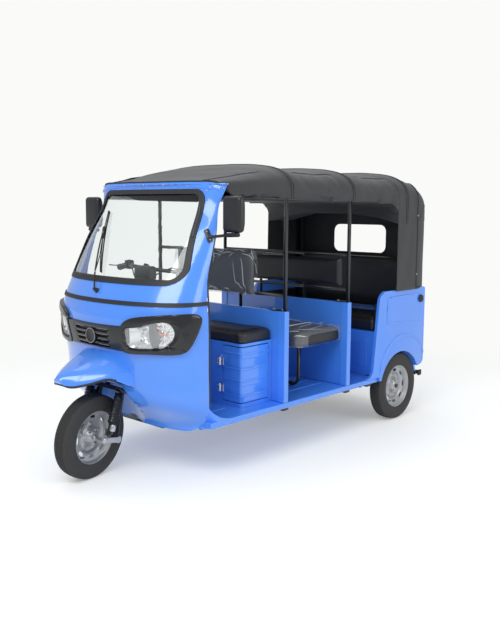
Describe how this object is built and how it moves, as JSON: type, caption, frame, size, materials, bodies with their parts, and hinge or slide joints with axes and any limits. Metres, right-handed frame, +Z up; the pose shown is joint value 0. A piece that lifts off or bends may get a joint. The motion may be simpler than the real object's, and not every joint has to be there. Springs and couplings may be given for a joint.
{
  "type": "auto rickshaw",
  "caption": "Three-wheeled passenger rickshaw with a rounded steel cab front, open sides, benches and a canvas top.",
  "frame": {"origin": "on the floor under the middle of the vehicle's length and width", "axes": "-Y forward, +X the vehicle's left, +Z up"},
  "size_m": [1.468, 3.0614, 1.8901],
  "materials": {
    "black_canvas": "coated canvas",
    "black_paint": "semi-gloss black enamel",
    "black_plastic": "moulded plastic",
    "black_vinyl": "upholstery vinyl",
    "blue_paint": "glossy baked enamel",
    "cast_alloy": "cast alloy",
    "clear_glass": "laminated glass",
    "lamp_lens": "clear moulded lens over a chromed bowl",
    "red_lens": "moulded red lens",
    "seal_rubber": "extruded rubber",
    "silver_paint": "silver wheel paint",
    "silver_steel": "zinc plated steel",
    "tyre_rubber": "moulded tyre rubber"
  },
  "bodies": {
    "root": {"belt_trim": "seal_rubber", "cab_front_shell": "blue_paint", "canopy": "black_canvas", "chassis_frame": "black_paint", "driver_backrest": "black_vinyl", "driver_partition": "blue_paint", "driver_seat": "black_vinyl", "engine": "cast_alloy", "filler_cap": "black_plastic", "floor_pan": "blue_paint", "front_bulkhead": "blue_paint", "front_mudguard": "blue_paint", "handrails": "black_paint", "head_tube": "black_paint", "headlamps": "lamp_lens", "instrument_pod": "black_plastic", "middle_backrest": "black_vinyl", "middle_partition": "blue_paint", "middle_seat": "black_vinyl", "middle_seat_legs": "black_paint", "mirrors": "black_plastic", "nose_fascia": "black_plastic", "rear_backrest": "black_vinyl", "rear_bumper": "black_paint", "rear_quarter_left": "blue_paint", "rear_quarter_right": "blue_paint", "rear_seat": "black_vinyl", "rear_seat_box": "blue_paint", "rear_shocks": "black_paint", "roof_frame": "black_paint", "seat_box": "blue_paint", "tail_lamps": "red_lens", "tail_panel": "blue_paint", "trailing_arms": "black_paint", "windshield_gasket": "seal_rubber", "windshield_glass": "clear_glass", "wiper": "black_plastic"},
    "steering": {"front_fork": "black_paint", "fork_links": "silver_steel", "front_shocks": "black_paint", "handlebar": "black_paint"},
    "wheel_front": {"front_tyre": "tyre_rubber", "front_wheel": "silver_paint"},
    "wheel_rear_left": {"rear_left_tyre": "tyre_rubber", "rear_left_wheel": "silver_paint"},
    "wheel_rear_right": {"rear_right_tyre": "tyre_rubber", "rear_right_wheel": "silver_paint"},
    "box_door": {"seat_box_door": "blue_paint"},
    "hatch": {"rear_hatch": "blue_paint"}
  },
  "joints": [
    {"name": "steering_turn", "type": "hinge", "parent": "root", "child": "steering", "pos_m": [0, -1.27675, 0.2541], "axis": [0, 0.4067, 0.9135], "range_deg": [-51.3, 28.7]},
    {"name": "front_wheel_spin", "type": "hinge", "parent": "steering", "child": "wheel_front", "pos_m": [0, -1.27675, 0.2541], "axis": [0.9806, 0.179, -0.0797], "continuous": true},
    {"name": "rear_left_wheel_spin", "type": "hinge", "parent": "root", "child": "wheel_rear_left", "pos_m": [0.571, 1.13725, 0.2545], "axis": [1, 0, 0], "continuous": true},
    {"name": "rear_right_wheel_spin", "type": "hinge", "parent": "root", "child": "wheel_rear_right", "pos_m": [-0.571, 1.13725, 0.2545], "axis": [1, 0, 0], "continuous": true},
    {"name": "seat_box_door_hinge", "type": "hinge", "parent": "root", "child": "box_door", "pos_m": [0.338, -0.50905, 0.57], "axis": [0, 0, 1], "range_deg": [-70, 0]},
    {"name": "rear_hatch_hinge", "type": "hinge", "parent": "root", "child": "hatch", "pos_m": [0, 1.49855, 0.8], "axis": [1, 0, 0], "range_deg": [0, 80]}
  ]
}
